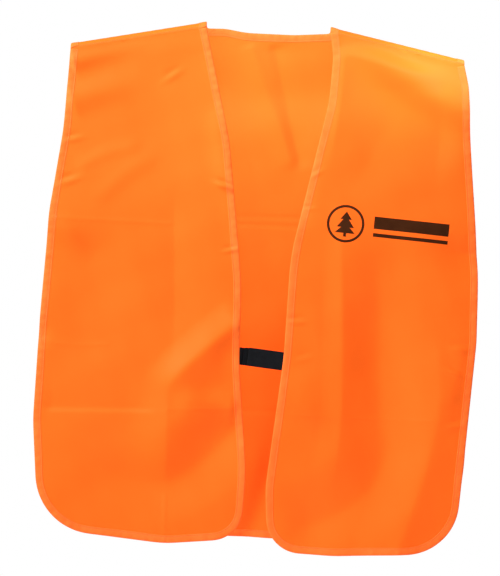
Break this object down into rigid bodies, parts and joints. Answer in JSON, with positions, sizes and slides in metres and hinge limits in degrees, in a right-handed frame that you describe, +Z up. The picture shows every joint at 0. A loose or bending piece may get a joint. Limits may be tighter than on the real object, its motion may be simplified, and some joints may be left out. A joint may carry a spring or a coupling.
{
  "type": "hunting vest",
  "caption": "Sleeveless high-visibility hunting vest with a V neck, open sides with elastic straps, bound edges and a hook and loop front tab.",
  "frame": {"origin": "midway between the two neck points, at the top of the shoulder folds", "axes": "+Z up, +X towards the wearer's left, the front of the vest faces -Y"},
  "size_m": [0.6087, 0.0527, 0.7308],
  "materials": {
    "orange_cloth": "plain woven blaze orange polyester",
    "binding_tape": "folded light orange binding tape",
    "thread": "orange sewing thread",
    "elastic": "ribbed orange elastic",
    "black_webbing": "black woven tape",
    "black_thread": "black sewing thread",
    "hook_pile": "moulded hooks",
    "loop_pile": "napped loops",
    "print_ink": "screen printed ink"
  },
  "bodies": {
    "back": {"back_panel": "orange_cloth", "left_shoulder_fold": "orange_cloth", "right_shoulder_fold": "orange_cloth", "back_neck_binding": "binding_tape", "back_outer_binding": "binding_tape", "back_neck_binding_thread": "thread", "back_outer_binding_thread": "thread", "left_shoulder_seam_thread": "thread", "right_shoulder_seam_thread": "thread", "left_side_strap": "elastic", "right_side_strap": "elastic", "strap_back_tacks": "thread"},
    "fronts": {"left_front_side_panel": "orange_cloth", "right_front_side_panel": "orange_cloth", "left_front_side_binding": "binding_tape", "right_front_side_binding": "binding_tape", "left_front_side_thread": "thread", "right_front_side_thread": "thread", "strap_front_tacks": "thread", "chest_print_bars": "print_ink"},
    "left_flap": {"left_front_flap": "orange_cloth", "left_front_edge_binding": "binding_tape", "left_front_edge_thread": "thread", "chest_print_badge": "print_ink", "hook_tab_sewn_end": "black_webbing", "hook_tab_stitching": "black_thread"},
    "right_flap": {"right_front_flap": "orange_cloth", "right_front_edge_binding": "binding_tape", "right_front_edge_thread": "thread", "loop_tab_sewn_end": "black_webbing", "loop_tab_stitching": "black_thread"},
    "hook_tab": {"hook_tab_free_end": "black_webbing", "hook_patch": "hook_pile"},
    "loop_tab": {"loop_tab_free_end": "black_webbing", "loop_patch": "loop_pile"}
  },
  "joints": [
    {"name": "front_lift", "type": "hinge", "parent": "back", "child": "fronts", "pos_m": [0, -0.0089, -0.024], "axis": [-1, 0, 0], "range_deg": [0, 15], "deforming": ["left_side_strap", "right_side_strap"]},
    {"name": "left_front_open", "type": "hinge", "parent": "fronts", "child": "left_flap", "pos_m": [0.17944, -0.01797, -0.3925], "axis": [-0.2624, 0.0253, 0.9646], "range_deg": [0, 130]},
    {"name": "right_front_open", "type": "hinge", "parent": "fronts", "child": "right_flap", "pos_m": [-0.16344, -0.01797, -0.3925], "axis": [-0.2624, -0.0253, -0.9646], "range_deg": [0, 95]},
    {"name": "hook_tab_peel", "type": "hinge", "parent": "left_flap", "child": "hook_tab", "pos_m": [0.03541, -0.01798, -0.46531], "axis": [0.0924, 0.0261, 0.9954], "range_deg": [0, 150]},
    {"name": "loop_tab_flex", "type": "hinge", "parent": "right_flap", "child": "loop_tab", "pos_m": [-0.01935, -0.01675, -0.46026], "axis": [0.0924, 0.0261, 0.9954], "range_deg": [0, 25]}
  ],
  "couplings": [
    {"joint": "right_front_open", "follows": "left_front_open", "ratio": 0.7}
  ]
}
